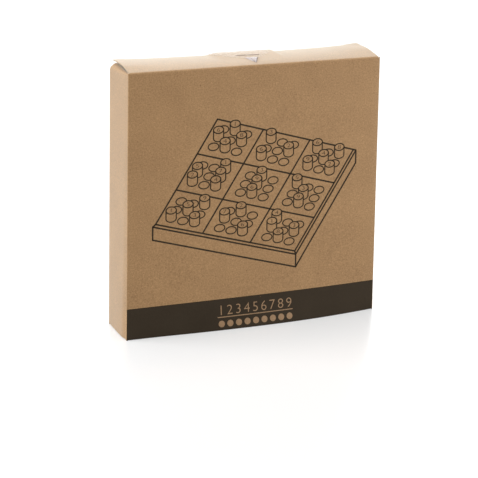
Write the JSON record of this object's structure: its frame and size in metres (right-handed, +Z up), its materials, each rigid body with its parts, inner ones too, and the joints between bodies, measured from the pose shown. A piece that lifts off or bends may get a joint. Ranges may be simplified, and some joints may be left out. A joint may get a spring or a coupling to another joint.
{
  "type": "boxed sudoku game",
  "caption": "Wooden sudoku board with round numbered pegs, packed upright in a square kraft card carton with a hinged tuck lid.",
  "frame": {"origin": "middle of the carton's underside, on the surface that it stands on", "axes": "+Z up, the printed front panel faces -Y, +X to the right as seen from the front"},
  "size_m": [0.164, 0.0327, 0.1646],
  "materials": {
    "kraft_card": "uncoated kraft card",
    "clear_film": "clear gloss film",
    "leaflet_paper": "matt paper",
    "board_wood": "oiled solid wood",
    "peg_wood": "sanded dowel"
  },
  "bodies": {
    "carton": {"front_panel": "kraft_card", "back_panel": "kraft_card", "left_side_panel": "kraft_card", "right_side_panel": "kraft_card", "glue_flap": "kraft_card", "bottom_outer_flap": "kraft_card", "bottom_inner_flap": "kraft_card", "bottom_left_flap": "kraft_card", "bottom_right_flap": "kraft_card", "seal_on_back": "clear_film", "leaflet": "leaflet_paper"},
    "lid": {"lid": "kraft_card", "seal_on_lid": "clear_film"},
    "tuck": {"tuck_flap": "kraft_card"},
    "left_flap": {"left_dust_flap": "kraft_card"},
    "right_flap": {"right_dust_flap": "kraft_card"},
    "board": {"board": "board_wood"},
    "pegs_1": {"pegs_digit_1": "peg_wood"},
    "pegs_2": {"pegs_digit_2": "peg_wood"},
    "pegs_3": {"pegs_digit_3": "peg_wood"},
    "pegs_4": {"pegs_digit_4": "peg_wood"},
    "pegs_5": {"pegs_digit_5": "peg_wood"},
    "pegs_6": {"pegs_digit_6": "peg_wood"},
    "pegs_7": {"pegs_digit_7": "peg_wood"},
    "pegs_8": {"pegs_digit_8": "peg_wood"},
    "pegs_9": {"pegs_digit_9": "peg_wood"}
  },
  "joints": [
    {"name": "board_lift", "type": "slide", "parent": "carton", "child": "board", "axis": [0, 0, 1], "range_m": [0, 0.072]},
    {"name": "lid_fold", "type": "hinge", "parent": "carton", "child": "lid", "pos_m": [0, -0.01625, 0.162], "axis": [1, 0, 0], "range_deg": [0, 230]},
    {"name": "tuck_fold", "type": "hinge", "parent": "lid", "child": "tuck", "pos_m": [0, 0.01535, 0.164], "axis": [1, 0, 0], "range_deg": [0, 95]},
    {"name": "left_flap_fold", "type": "hinge", "parent": "carton", "child": "left_flap", "pos_m": [-0.082, 0, 0.1611], "axis": [0, -1, 0], "range_deg": [0, 230]},
    {"name": "right_flap_fold", "type": "hinge", "parent": "carton", "child": "right_flap", "pos_m": [0.082, 0, 0.1611], "axis": [0, 1, 0], "range_deg": [0, 230]},
    {"name": "peg_1_slide", "type": "slide", "parent": "board", "child": "pegs_1", "axis": [0, -1, 0], "range_m": [0, 0.0018]},
    {"name": "peg_2_slide", "type": "slide", "parent": "board", "child": "pegs_2", "axis": [0, -1, 0], "range_m": [0, 0.0018]},
    {"name": "peg_3_slide", "type": "slide", "parent": "board", "child": "pegs_3", "axis": [0, -1, 0], "range_m": [0, 0.0018]},
    {"name": "peg_4_slide", "type": "slide", "parent": "board", "child": "pegs_4", "axis": [0, -1, 0], "range_m": [0, 0.0018]},
    {"name": "peg_5_slide", "type": "slide", "parent": "board", "child": "pegs_5", "axis": [0, -1, 0], "range_m": [0, 0.0018]},
    {"name": "peg_6_slide", "type": "slide", "parent": "board", "child": "pegs_6", "axis": [0, -1, 0], "range_m": [0, 0.0018]},
    {"name": "peg_7_slide", "type": "slide", "parent": "board", "child": "pegs_7", "axis": [0, -1, 0], "range_m": [0, 0.0018]},
    {"name": "peg_8_slide", "type": "slide", "parent": "board", "child": "pegs_8", "axis": [0, -1, 0], "range_m": [0, 0.0018]},
    {"name": "peg_9_slide", "type": "slide", "parent": "board", "child": "pegs_9", "axis": [0, -1, 0], "range_m": [0, 0.0018]}
  ],
  "couplings": [
    {"joint": "lid_fold", "follows": "board_lift", "rad_per_m": 55.7},
    {"joint": "tuck_fold", "follows": "board_lift", "rad_per_m": 22.3},
    {"joint": "left_flap_fold", "follows": "board_lift", "rad_per_m": 55.7},
    {"joint": "right_flap_fold", "follows": "board_lift", "rad_per_m": 55.7}
  ]
}
